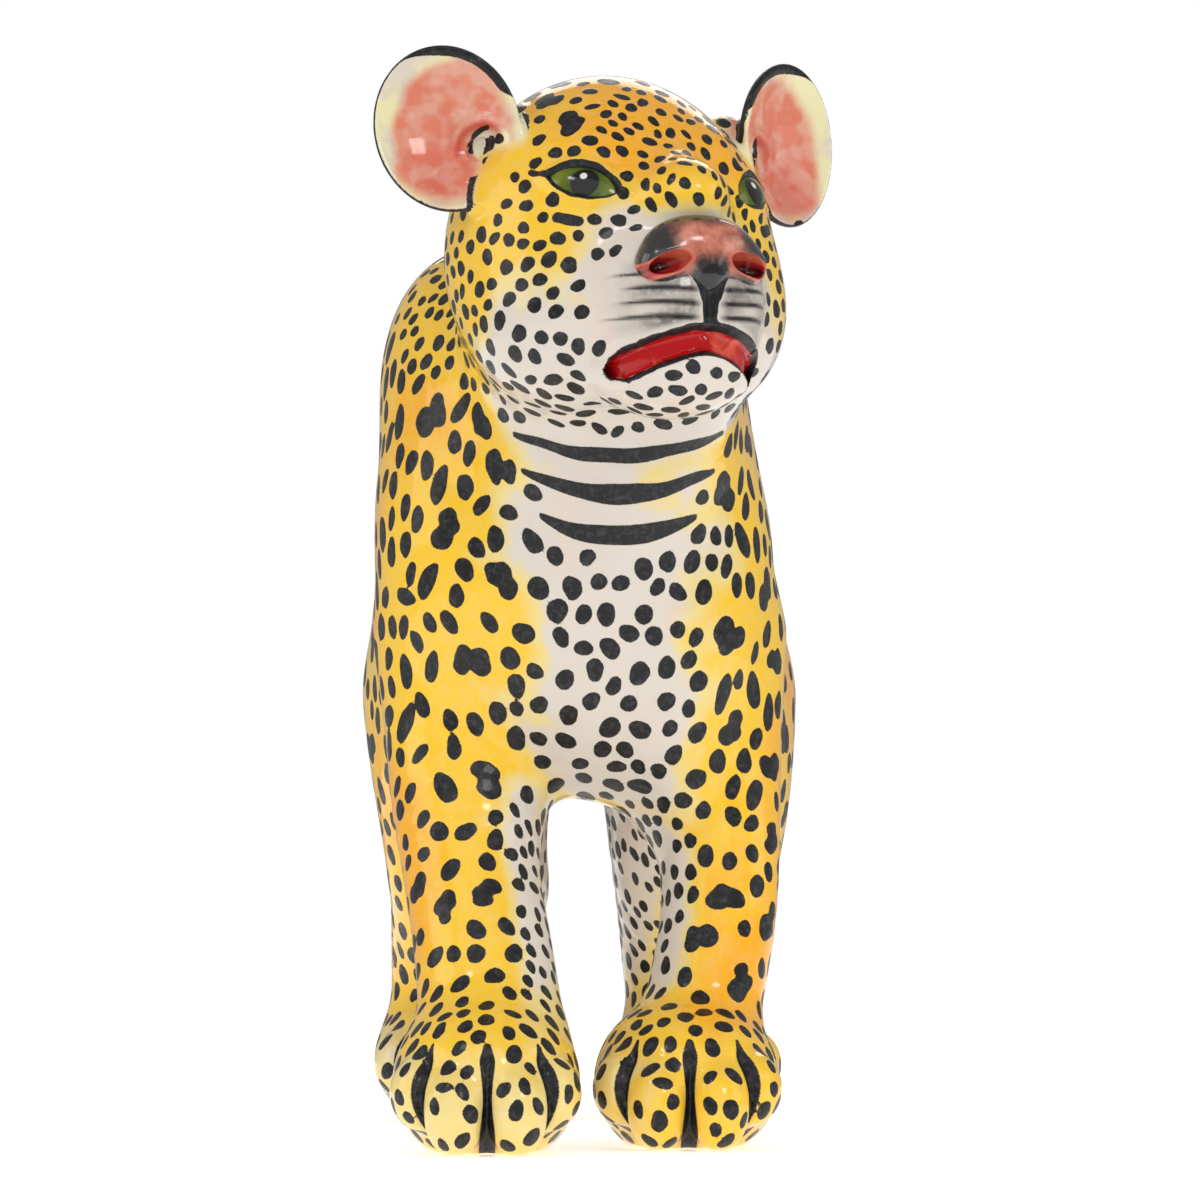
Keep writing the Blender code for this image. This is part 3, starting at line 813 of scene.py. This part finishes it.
def face_ink(p):
    """Signed distance to the face's painted lines: eye liner, dash, lip outline and philtrum."""
    q = to_head(p)
    eye = to_eye(q)
    wobble = 0.25 * wave_noise(p, 6, SEED + 9)
    outline = almond(eye)
    liner = np.abs(outline + 0.1) - 0.9 - 0.4 * soft_step(eye[:, 1], -1, 2)
    past_corner = eye[:, 0] - LID_LENGTH
    tail = np.hypot(np.maximum(np.abs(past_corner - 2) - 4.5, 0), eye[:, 1] - 0.12 * past_corner) - 1.1
    corner = np.hypot(eye[:, 0] + LID_LENGTH + 1.2, eye[:, 1] + 0.8) - 2.1
    dash = np.hypot(np.maximum(np.abs(eye[:, 0] - 1) - 3.6, 0), eye[:, 1] + 13.2) - 1.9
    near_eye = np.abs(eye[:, 2]) < 14
    marks = np.where(near_eye, np.minimum(np.minimum(liner, tail), np.minimum(corner, dash)), DEEP)
    front = q[:, 1] < FACE_Y
    lips = mouth(q)
    rim = np.abs(lips - 0.7) - 0.85 - 0.25 * (q[:, 2] > MOUTH_MIDDLE_Z - 2)
    marks = np.where(front, np.minimum(marks, rim), marks)
    top = np.clip((q[:, 2] + 30) / 16, 0, 1)
    groove = np.abs(q[:, 0]) - 2.6 - 6.2 * top**2
    groove = np.maximum(groove, np.maximum(q[:, 2] + 10, -q[:, 2] - 33))
    marks = np.where(front, np.minimum(marks, groove), marks)
    return marks + wobble, lips


def whiskers(p):
    """(grey smudge, dark line) amounts on the muzzle's two pads."""
    q = to_head(p)
    x, z = np.abs(q[:, 0]), q[:, 2]
    pad = soft_step(32 - x, 0, 9) * soft_step(x, 2, 7) * soft_step(-z, 9, 15) * soft_step(z, -37, -31)
    pad = pad * (q[:, 1] < -40) * soft_step(mouth(q), 1.5, 4)
    blur = 0.5 + 0.5 * wave_noise(q * np.array((0.3, 0.3, 1.5)), 7, SEED + 12)
    inner = soft_step(30 - x, 0, 16)
    level = (z + 16.5 - 0.05 * (x - 4)) / -WHISKER_GAP
    line = 1 - np.abs(level - np.round(level)) * WHISKER_GAP / (0.55 + 0.75 * inner)
    line_end = 30 + 3 * np.sin(5 * np.round(level))
    line = np.clip(line * 1.6, 0, 1) * (level > -0.4) * (level < 3.4) * soft_step(line_end - x, 0, 5)
    return pad * (0.16 + 0.84 * blur * inner), pad * line * 0.95


# ---- materials ----
class Nodes:
    """A short way to write a node tree."""

    def __init__(self, name):
        self.material = bpy.data.materials.new(name)
        self.material.use_nodes = True
        self.tree = self.material.node_tree
        self.shader = self.tree.nodes["Principled BSDF"]

    def add(self, kind, inputs=(), **settings):
        node = self.tree.nodes.new(kind)
        for key, value in settings.items():
            setattr(node, key, value)
        for key, value in dict(inputs).items():
            self.feed(node.inputs[key], value)
        return node

    def feed(self, socket, value):
        if isinstance(value, bpy.types.NodeSocket):
            self.tree.links.new(value, socket)
        else:
            socket.default_value = value

    def field(self, name, output="Fac"):
        return self.add("ShaderNodeAttribute", attribute_name=name).outputs[output]

    def math(self, operation, a, b=0.0, c=0.0):
        node = self.add("ShaderNodeMath", operation=operation)
        for socket, value in zip(node.inputs, (a, b, c)):
            self.feed(socket, value)
        return node.outputs[0]

    def distance(self, a, b):
        squares = [self.math("MULTIPLY", part, part) for part in (a, b)]
        return self.math("SQRT", self.math("ADD", *squares))

    def band(self, value, low, high, start=0.0, end=1.0, smooth=True):
        node = self.add("ShaderNodeMapRange", interpolation_type="SMOOTHSTEP" if smooth else "LINEAR")
        keys = ("Value", "From Min", "From Max", "To Min", "To Max")
        for key, part in zip(keys, (value, low, high, start, end)):
            self.feed(node.inputs[key], part)
        return node.outputs[0]

    def mix(self, share, a, b):
        node = self.add("ShaderNodeMix", data_type="RGBA")
        self.feed(node.inputs[0], share)
        self.feed(node.inputs[6], (*a, 1) if isinstance(a, tuple) else a)
        self.feed(node.inputs[7], (*b, 1) if isinstance(b, tuple) else b)
        return node.outputs[2]

    def noise(self, scale, detail=3.0, roughness=0.55, distortion=0.0):
        place = self.add("ShaderNodeNewGeometry").outputs["Position"]
        inputs = {"Vector": place, "Scale": scale, "Detail": detail, "Roughness": roughness}
        return self.add("ShaderNodeTexNoise", inputs | {"Distortion": distortion}).outputs["Fac"]

    def bump(self, height, distance, strength=1.0, normal=None):
        node = self.add("ShaderNodeBump", {"Height": height, "Distance": distance, "Strength": strength})
        if normal:
            self.feed(node.inputs["Normal"], normal)
        return node.outputs[0]

    def finished(self, **inputs):
        """Fills the shader's inputs, with an underscore for each space in their names."""
        for key, value in inputs.items():
            self.feed(self.shader.inputs[key.replace("_", " ")], value)
        return self.material


CREAM = (0.73, 0.66, 0.58)
YELLOW = (0.96, 0.585, 0.028)
PALE_YELLOW = (0.86, 0.68, 0.24)
ORANGE = (0.97, 0.44, 0.010)
BLUSH = (0.88, 0.62, 0.50)
INK = (0.007, 0.007, 0.008)
GREY = (0.16, 0.15, 0.14)
LIP_RED = (0.50, 0.006, 0.008)
LIP_PINK = (0.86, 0.17, 0.10)
SALMON = (0.78, 0.24, 0.15)
PALE_SALMON = (0.80, 0.40, 0.29)
EAR_RED_AND_FOLD_SHADE = (0.60, 0.05, 0.03)
DEEP_RED = (0.42, 0.02, 0.02)
RIM_YELLOW = (0.88, 0.84, 0.50)


def body_glaze():
    """Transparent washes from cream to orange, satin ink over them, and one clear wet glaze."""
    m = Nodes("body_glaze")
    drift = m.noise(55, 5, 0.6, 0.3)
    wash = m.math("MULTIPLY_ADD", m.math("SUBTRACT", drift, 0.5), 0.9, m.field("warm"))
    colour = m.mix(m.band(wash, 0.12, 0.42), CREAM, PALE_YELLOW)
    colour = m.mix(m.band(wash, 0.40, 0.78), colour, YELLOW)
    colour = m.mix(m.band(wash, 1.15, 1.75), colour, ORANGE)
    blush = m.math("MULTIPLY", m.band(m.noise(38, 4, 0.6), 0.52, 0.72), m.band(wash, 0.75, 0.35))
    colour = m.mix(m.math("MULTIPLY", blush, 0.35), colour, BLUSH)
    streaks = m.band(m.noise(240, 6, 0.65, 0.6), 0.35, 0.75)
    colour = m.mix(m.math("MULTIPLY", streaks, 0.14), colour, CREAM)
    smudge = m.math("MULTIPLY", m.field("smudge"), m.band(m.noise(420, 4, 0.6), 0.25, 0.55, 0.45, 1.0))
    colour = m.mix(smudge, colour, GREY)
    colour = m.mix(m.field("whisker"), colour, INK)
    rose = m.field("rose")
    rose_wash = m.mix(m.band(m.noise(130, 2, 0.5), 0.38, 0.62), SALMON, PALE_SALMON)
    rose_wash = m.mix(m.band(m.noise(70, 3, 0.55), 0.56, 0.72), rose_wash, BLUSH)
    rim_wash = m.mix(m.band(m.noise(60, 3), 0.4, 0.62), RIM_YELLOW, CREAM)
    colour = m.mix(m.field("rim"), colour, rim_wash)
    colour = m.mix(rose, colour, rose_wash)
    # deeper ear red: partly a red wash, partly painted shade down the fold and in its crease
    colour = m.mix(m.field("red_wash_and_fold_shade"), colour, EAR_RED_AND_FOLD_SHADE)
    lip = m.field("lip")
    tongue = m.mix(m.band(m.noise(110, 3, 0.5, 0.6), 0.54, 0.80), LIP_RED, LIP_PINK)
    colour = m.mix(m.band(lip, 0.15, -0.15), colour, tongue)
    edge_noise = m.math("MULTIPLY", m.math("SUBTRACT", m.noise(1600, 3, 0.6), 0.5), 0.5)
    ink_depth = m.math("ADD", m.field("ink"), edge_noise)
    inked = m.band(ink_depth, 0.13, -0.13)
    brushed = m.mix(m.band(m.noise(420, 5, 0.65, 0.5), 0.45, 0.75), INK, (0.05, 0.048, 0.05))
    colour = m.mix(inked, colour, brushed)
    satin = m.band(m.noise(260, 3), 0.35, 0.7, 0.24, 0.42)
    relief = m.bump(m.band(ink_depth, 0.5, -0.5), 0.00012, 0.6)
    strokes = m.bump(m.math("MULTIPLY", m.noise(900, 4, 0.7), inked), 0.00022, 0.45, relief)
    return m.finished(
        Base_Color=colour,
        Roughness=m.math("ADD", m.math("MULTIPLY", inked, satin), 0.10),
        Specular_IOR_Level=0.26,
        Coat_Weight=0.15,
        Coat_Roughness=0.05,
        Normal=m.bump(m.noise(70, 2, 0.5), 0.0009, 0.35, strokes),
    )


def eye_glaze():
    """Olive-green iris, black pupil, one painted white highlight dot that the figure's own eye paint also
    has, and a thick wet glaze.
    """
    m = Nodes("eye_glaze")
    place = m.add("ShaderNodeSeparateXYZ", {"Vector": m.field("eye", "Vector")})
    along, up = place.outputs[0], place.outputs[1]
    radial = m.distance(m.math("ADD", along, 0.6), up)
    streak = m.noise(600, 4, 0.6)
    streaked = m.math("ADD", radial, m.math("MULTIPLY", streak, 5.0))
    olive = m.mix(m.band(streaked, 6.0, 13.0), (0.055, 0.10, 0.008), (0.20, 0.23, 0.02))
    colour = m.mix(m.band(m.noise(300, 3), 0.55, 0.75), olive, (0.03, 0.07, 0.006))
    colour = m.mix(m.band(radial, 5.1, 4.6), colour, INK)
    # painted highlight: a white dot above the pupil, also part of the figure's own eye paint
    highlight_dot = m.distance(m.math("ADD", along, -0.4), m.math("SUBTRACT", up, 2.0))
    colour = m.mix(m.band(highlight_dot, 1.35, 1.05), colour, (0.85, 0.82, 0.74))
    colour = m.mix(m.band(m.field("lid"), -1.0, -0.5), colour, INK)
    return m.finished(
        Base_Color=colour,
        Roughness=m.band(streak, 0.3, 0.7, 0.06, 0.12),
        Specular_IOR_Level=0.3,
        Coat_Weight=0.25,
        Coat_Roughness=0.03,
        Normal=m.bump(m.noise(260, 2), 0.0004, 0.3),
    )


def nose_glaze():
    """Red-brown top, black edges and septum, and nostrils glazed deep red with a salmon lip, with painted
    shade darkening them to near black deep inside.
    """
    m = Nodes("nose_glaze")
    red = m.mix(m.band(m.noise(130, 3, 0.55, 0.3), 0.35, 0.72), (0.40, 0.10, 0.06), (0.74, 0.27, 0.18))
    brush = m.band(m.noise(420, 5, 0.7, 0.4), 0.3, 0.7, -0.16, 0.16)
    ruddy = m.math("ADD", m.field("ruddy"), brush)
    colour = m.mix(m.band(ruddy, 0.08, 0.92, smooth=False), (0.030, 0.027, 0.028), red)
    hole = m.field("hole")
    colour = m.mix(m.band(hole, 1.0, 0.6), colour, (0.62, 0.13, 0.07))
    colour = m.mix(m.band(hole, 0.2, -0.4), colour, DEEP_RED)
    # painted shade: near black deep inside each nostril's recess
    colour = m.mix(m.band(hole, -1.2, -2.4), colour, (0.05, 0.0, 0.0))
    colour = m.mix(m.band(m.field("ink"), 0.3, -0.3), colour, INK)
    return m.finished(
        Base_Color=colour,
        Roughness=m.band(m.noise(380, 3), 0.3, 0.7, 0.12, 0.24),
        Coat_Weight=0.35,
        Coat_Roughness=0.05,
        Normal=m.bump(m.noise(150, 3), 0.0006, 0.35),
    )


# ---- the pieces ----
def shift_to_frame():
    """From the clay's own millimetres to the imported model's frame: the eyes' middle is known in both."""
    corners = [Vector(corner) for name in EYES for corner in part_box(name)]
    seen = sum(corners, Vector()) / len(corners)
    sunk = np.array(Vector(EYE_OUTWARD).normalized()) * EYE_SUNK
    made = from_head(np.array((EYES_ASIDE, EYE_MIDDLE[1] - sunk[1], EYE_MIDDLE[2] - sunk[2])))
    return np.array(seen) * 1000 - made


BELOW_NECK = plane(NECK_SEAM_POINT, NECK_SEAM_NORMAL)
ABOVE_NECK = plane(NECK_SEAM_POINT, -NECK_SEAM_NORMAL)
BELOW_HIPS = plane((0, 0, LEG_SEAM_Z), (0, 0, 1))
ABOVE_HIPS = plane((0, 0, LEG_SEAM_Z), (0, 0, -1))


def ear_cut(side, inwards):
    """The plane across an ear's root, just outside the head's skin."""
    out = np.array((side * 0.80, 0.0, 0.60))
    out /= np.linalg.norm(out)
    return plane(from_head(out * EAR_SEAM_OUT), (out if inwards else -out) @ HEAD_AXES.T)


def leg_clay(name):
    return lambda p: clay(p, (name,))


def node_bounds(name, spare=8.0):
    corners = np.array([*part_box(name)]) * 1000 - SHIFT
    return corners.min(0) - spare, corners.max(0) + spare


SHIFT = shift_to_frame()
PIECES = {}  # name: (mesh, points, normals)


def add_piece(name, field, step, cuts=()):
    low, high = node_bounds(name)
    mesh = closed_piece(name, field, low, high, step, cuts)
    points, normals = shade_as_field(mesh, field, cuts)
    PIECES[name] = (mesh, points, normals)


def paint_number(mesh, name, values):
    layer = mesh.attributes.new(name, "FLOAT", "POINT")
    layer.data.foreach_set("value", np.asarray(values, np.float32))


def add_object(name, data):
    thing = bpy.data.objects.new(name, data)
    bpy.context.scene.collection.objects.link(thing)
    return thing


def finish_piece(name, material):
    mesh, points, _ = PIECES[name]
    mesh.vertices.foreach_set("co", ((points + SHIFT) / 1000).astype(np.float32).ravel())
    mesh.update()
    mesh.materials.append(material)
    thing = add_object("painted_" + name, mesh)
    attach(thing, "root")
    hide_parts(name)


def make_pieces():
    add_piece("head", clay, STEP_HEAD, [ABOVE_NECK, ear_cut(1, True), ear_cut(-1, True)])
    add_piece("ear_left", clay, STEP_EAR, [ear_cut(1, False)])
    add_piece("ear_right", clay, STEP_EAR, [ear_cut(-1, False)])
    add_piece("torso", clay, STEP_BODY, [BELOW_NECK, ABOVE_HIPS])
    for name in LEGS:
        add_piece(name, leg_clay(name), STEP_BODY, [BELOW_HIPS])
    add_piece("tail", tail_field, STEP_BODY)
    add_piece("nose_pad", nose_field, STEP_SMALL)
    for name in EYES:
        add_piece(name, eye_field, STEP_SMALL)


def ear_washes(p, n):
    """Rose inside, a deeper red partly painted as shade down the fold and in its crease, a cream margin, a
    thin black rim that thickens inwards, and a mostly black back.
    """
    q = to_head(p)
    rose, rim, red_wash_and_fold_shade = np.zeros(len(p)), np.zeros(len(p)), np.zeros(len(p))
    ink = np.full(len(p), DEEP)
    drift = wave_noise(p, 16, SEED + 15)
    past_seam = length(q) - EAR_SEAM_OUT
    for side in (-1, 1):
        e = to_ear(q, side)
        outward, up = side * e[:, 0] / EAR_HALF[0], e[:, 2] / EAR_HALF[1]
        reach = np.hypot(outward, up)
        sheet = np.abs(e[:, 1] + EAR_CUP * reach**2)
        on_ear = (reach < 1.12) & (sheet < 9) & (past_seam > -1)
        facing = -((n @ HEAD_AXES) @ ear_axes(side))[:, 1]
        front = soft_step(facing, 0.0, 0.2) * soft_step(past_seam, -1.5, 0.5)
        front = front * soft_step(1.14 - reach, 0, 0.06) * soft_step(11 - sheet, 0, 3)
        margin = 0.99 - 0.22 * soft_step(0.9 * outward + up, 0.1, 1.3)
        inward, rise = -side * e[:, 0] - 9, e[:, 2] + 9
        around, turn = np.hypot(inward, rise), np.arctan2(rise, inward - 2.5)
        hollow = soft_step(6.2 - np.hypot((inward - 3.5) / 1.2, rise - 0.5) + 0.5 * drift, 0, 1.4)
        rose = np.maximum(rose, front * soft_step(margin + 0.05 * drift - reach, -0.02, 0.2) * (1 - hollow))
        rim = np.maximum(rim, front)
        low = np.exp(-(((outward - 0.3) / 0.35) ** 2) - (((up + 0.45) / 0.6) ** 2))
        # painted shade: a darker red band down the ear's fold
        stroke = np.exp(-(((outward + 0.05) / 0.10) ** 2) - (((up + 0.25) / 0.45) ** 2))
        deep = np.maximum(low * (0.40 if side < 0 else 0.55), 0.35 * stroke)
        # painted shade: a dark red ring in the crease between the hollow and the fold
        deep = np.maximum(deep, 0.75 * np.exp(-(((around - 8) / 1.6) ** 2)) * soft_step(turn, 0.2, 0.9))
        red_wash_and_fold_shade = np.maximum(red_wash_and_fold_shade, front * deep)
        rooted = soft_step(-outward, 0.5, 0.75) * soft_step(0.3 - up, 0, 0.25)
        edge = (1 - reach) * EAR_HALF[0] - 0.7 - 2.4 * soft_step(up - outward, 0.5, 1.1) + 4 * rooted
        bow = np.hypot(inward - 2.5, rise - 0.5) - 6.2
        crescent = np.hypot(bow, 6 * np.maximum(np.abs(turn - 2.2) - 0.8, 0)) - 0.8
        upper_dab = np.hypot(inward - 6.5, (rise - 1.5) / 1.3) - 1.5
        dabs = np.minimum(upper_dab, np.hypot(inward - 0.5, (rise + 4.5) / 1.5) - 1.4)
        canal = np.minimum(crescent, dabs) + 0.4 * wave_noise(p, 4, SEED + 16)
        behind = np.minimum(np.abs(edge), (0.75 - reach) * 20 + 3 * drift)
        marks = np.where(facing > 0.05, np.minimum(edge, canal), behind)
        seam = np.where((up < -0.6) & (facing > -0.2), np.abs(past_seam) - 0.6, DEEP)
        ink = np.where(on_ear, np.minimum(ink, np.minimum(marks, seam)), ink)
    return rose, rim, red_wash_and_fold_shade, ink


def paint_skin():
    skin = [name for name in PIECES if name != "nose_pad" and name not in EYES]
    points = np.concatenate([PIECES[name][1] for name in skin])
    normals = np.concatenate([PIECES[name][2] for name in skin])
    spots = scatter(points, normals, spot_plan)
    for name in skin:
        mesh, p, n = PIECES[name]
        ink = np.minimum(stamp_spots(p, n, *spots), necklace(p))
        if name in LEGS:
            ink = np.minimum(ink, toe_strokes(p, name))
        nothing = np.zeros(len(p))
        washes = dict.fromkeys(("smudge", "whisker", "rose", "rim", "red_wash_and_fold_shade"), nothing)
        washes |= {"warm": warmth(p, n), "lip": np.full(len(p), DEEP)}
        if name == "head":
            marks, lips = face_ink(p)
            ink = np.minimum(ink, marks)
            washes["lip"] = np.where(to_head(p)[:, 1] < FACE_Y, np.clip(lips, -DEEP, DEEP), DEEP)
            washes["smudge"], washes["whisker"] = whiskers(p)
        if name == "head" or name.startswith("ear"):
            washes["rose"], washes["rim"], washes["red_wash_and_fold_shade"], ear_ink = ear_washes(p, n)
            ink = np.minimum(ink, ear_ink)
        for key, values in (washes | {"ink": np.clip(ink, -DEEP, DEEP)}).items():
            paint_number(mesh, key, values)


def paint_nose():
    mesh, p, _ = PIECES["nose_pad"]
    folded = both_sides(to_head(p))
    local = tilted_nostril(folded)
    inwards = ellipsoid(local * np.array((1, 0, 1)), (0, 0, 0), NOSTRIL_SIZE)
    inwards = inwards + 0.7 * soft_step(local[:, 2], -0.5, 2.5) * (inwards > -1)
    paint_number(mesh, "hole", np.clip(inwards, -4, 4))
    aside, rise = folded[:, 0], folded[:, 2]
    ruddy = soft_step(16 - aside, 0, 9) * soft_step(rise, -21, -12) * soft_step(3.5 - rise, 0, 5)
    ruddy = ruddy * (1 - soft_step(9 - aside, 0, 5) * soft_step(-rise, 7, 14))
    paint_number(mesh, "ruddy", ruddy)
    septum = aside - 4.4 - 0.3 * np.maximum(rise + 12, 0)
    paint_number(mesh, "ink", np.clip(blend_max(septum, rise + 13, 5), -DEEP, DEEP))


def paint_eyes():
    for name in EYES:
        mesh, p, _ = PIECES[name]
        eye = to_eye(to_head(p))
        layer = mesh.attributes.new("eye", "FLOAT_VECTOR", "POINT")
        layer.data.foreach_set("vector", eye.astype(np.float32).ravel())
        paint_number(mesh, "lid", np.clip(almond(eye), -6, 6))


# ---- camera, lights and floor ----
EYE_HEIGHT = 139.0
EYE_DISTANCE = 3000.0  # from the front paws
PAWS_Y = -110.0
FRAME_WIDTH = 400.0  # what the square picture spans at the front paws
AIM = (6.0, PAWS_Y, 182.3)
LIT_POINT = Vector((0, 0, 0.2))
SOFTBOXES = (  # name, place and size in metres, watts
    ("front", (-0.4, -2.2, 1.7), (3.4, 2.6), 21),
    ("key", (0.8, -1.5, 1.2), (0.4, 0.4), 6),
    ("spark", (-1.0, -0.9, 1.9), (0.3, 0.3), 3),
    ("left", (-1.7, -0.2, 0.8), (1.0, 1.2), 6),
    ("right", (1.7, -0.4, 0.8), (1.0, 1.2), 4.5),
    ("back", (0.1, 1.7, 1.3), (1.2, 0.9), 7),
)


def world_metres(point):
    return Vector((np.array(point) + SHIFT) / 1000)


def make_camera():
    data = bpy.data.cameras.new("camera")
    data.sensor_width = 36
    data.lens = 36 * EYE_DISTANCE / FRAME_WIDTH
    data.clip_end = 20
    camera = add_object("camera", data)
    camera.location = world_metres((AIM[0], PAWS_Y - EYE_DISTANCE, EYE_HEIGHT))
    direction = world_metres(AIM) - camera.location
    camera.rotation_euler = direction.to_track_quat("-Z", "Y").to_euler()
    bpy.context.scene.camera = camera


def make_lights():
    for name, place, size, watts in SOFTBOXES:
        data = bpy.data.lights.new(name, "AREA")
        data.shape = "RECTANGLE"
        data.size, data.size_y = size
        data.energy = watts
        lamp = add_object(name, data)
        lamp.location = place
        lamp.rotation_euler = (LIT_POINT - Vector(place)).to_track_quat("-Z", "Y").to_euler()


def make_world():
    """White to the camera and dimmer to the glaze, with plain colours."""
    world = bpy.data.worlds.new("studio")
    world.use_nodes = True
    bpy.context.scene.world = world
    bpy.context.scene.view_settings.view_transform = "Standard"
    tree = world.node_tree
    seen = tree.nodes.new("ShaderNodeLightPath").outputs["Is Camera Ray"]
    level = tree.nodes.new("ShaderNodeMapRange")
    level.inputs["To Min"].default_value = 0.35
    level.inputs["To Max"].default_value = 1.0
    tree.links.new(seen, level.inputs["Value"])
    tree.links.new(level.outputs[0], tree.nodes["Background"].inputs["Strength"])
    tree.nodes["Background"].inputs["Color"].default_value = (1, 1, 1, 1)


def make_floor():
    m = Nodes("pale_floor")
    pale = m.finished(
        Base_Color=(0.93, 0.93, 0.93, 1),
        Emission_Color=(1, 1, 1, 1),
        Emission_Strength=0.55,
        Roughness=m.band(m.noise(40, 2), 0.3, 0.7, 0.5, 0.6),
    )
    mesh = bpy.data.meshes.new("floor")
    shape = bmesh.new()
    bmesh.ops.create_grid(shape, x_segments=2, y_segments=2, size=0.95)
    shape.to_mesh(mesh)
    shape.free()
    mesh.materials.append(pale)
    floor = add_object("floor", mesh)
    floor.location.z = -0.0005


make_camera()
make_pieces()
paint_skin()
paint_nose()
paint_eyes()
BODY = body_glaze()
EYE = eye_glaze()
NOSE = nose_glaze()
for piece in PIECES:
    if piece in EYES:
        finish_piece(piece, EYE)
    elif piece == "nose_pad":
        finish_piece(piece, NOSE)
    else:
        finish_piece(piece, BODY)
make_lights()
make_world()
make_floor()
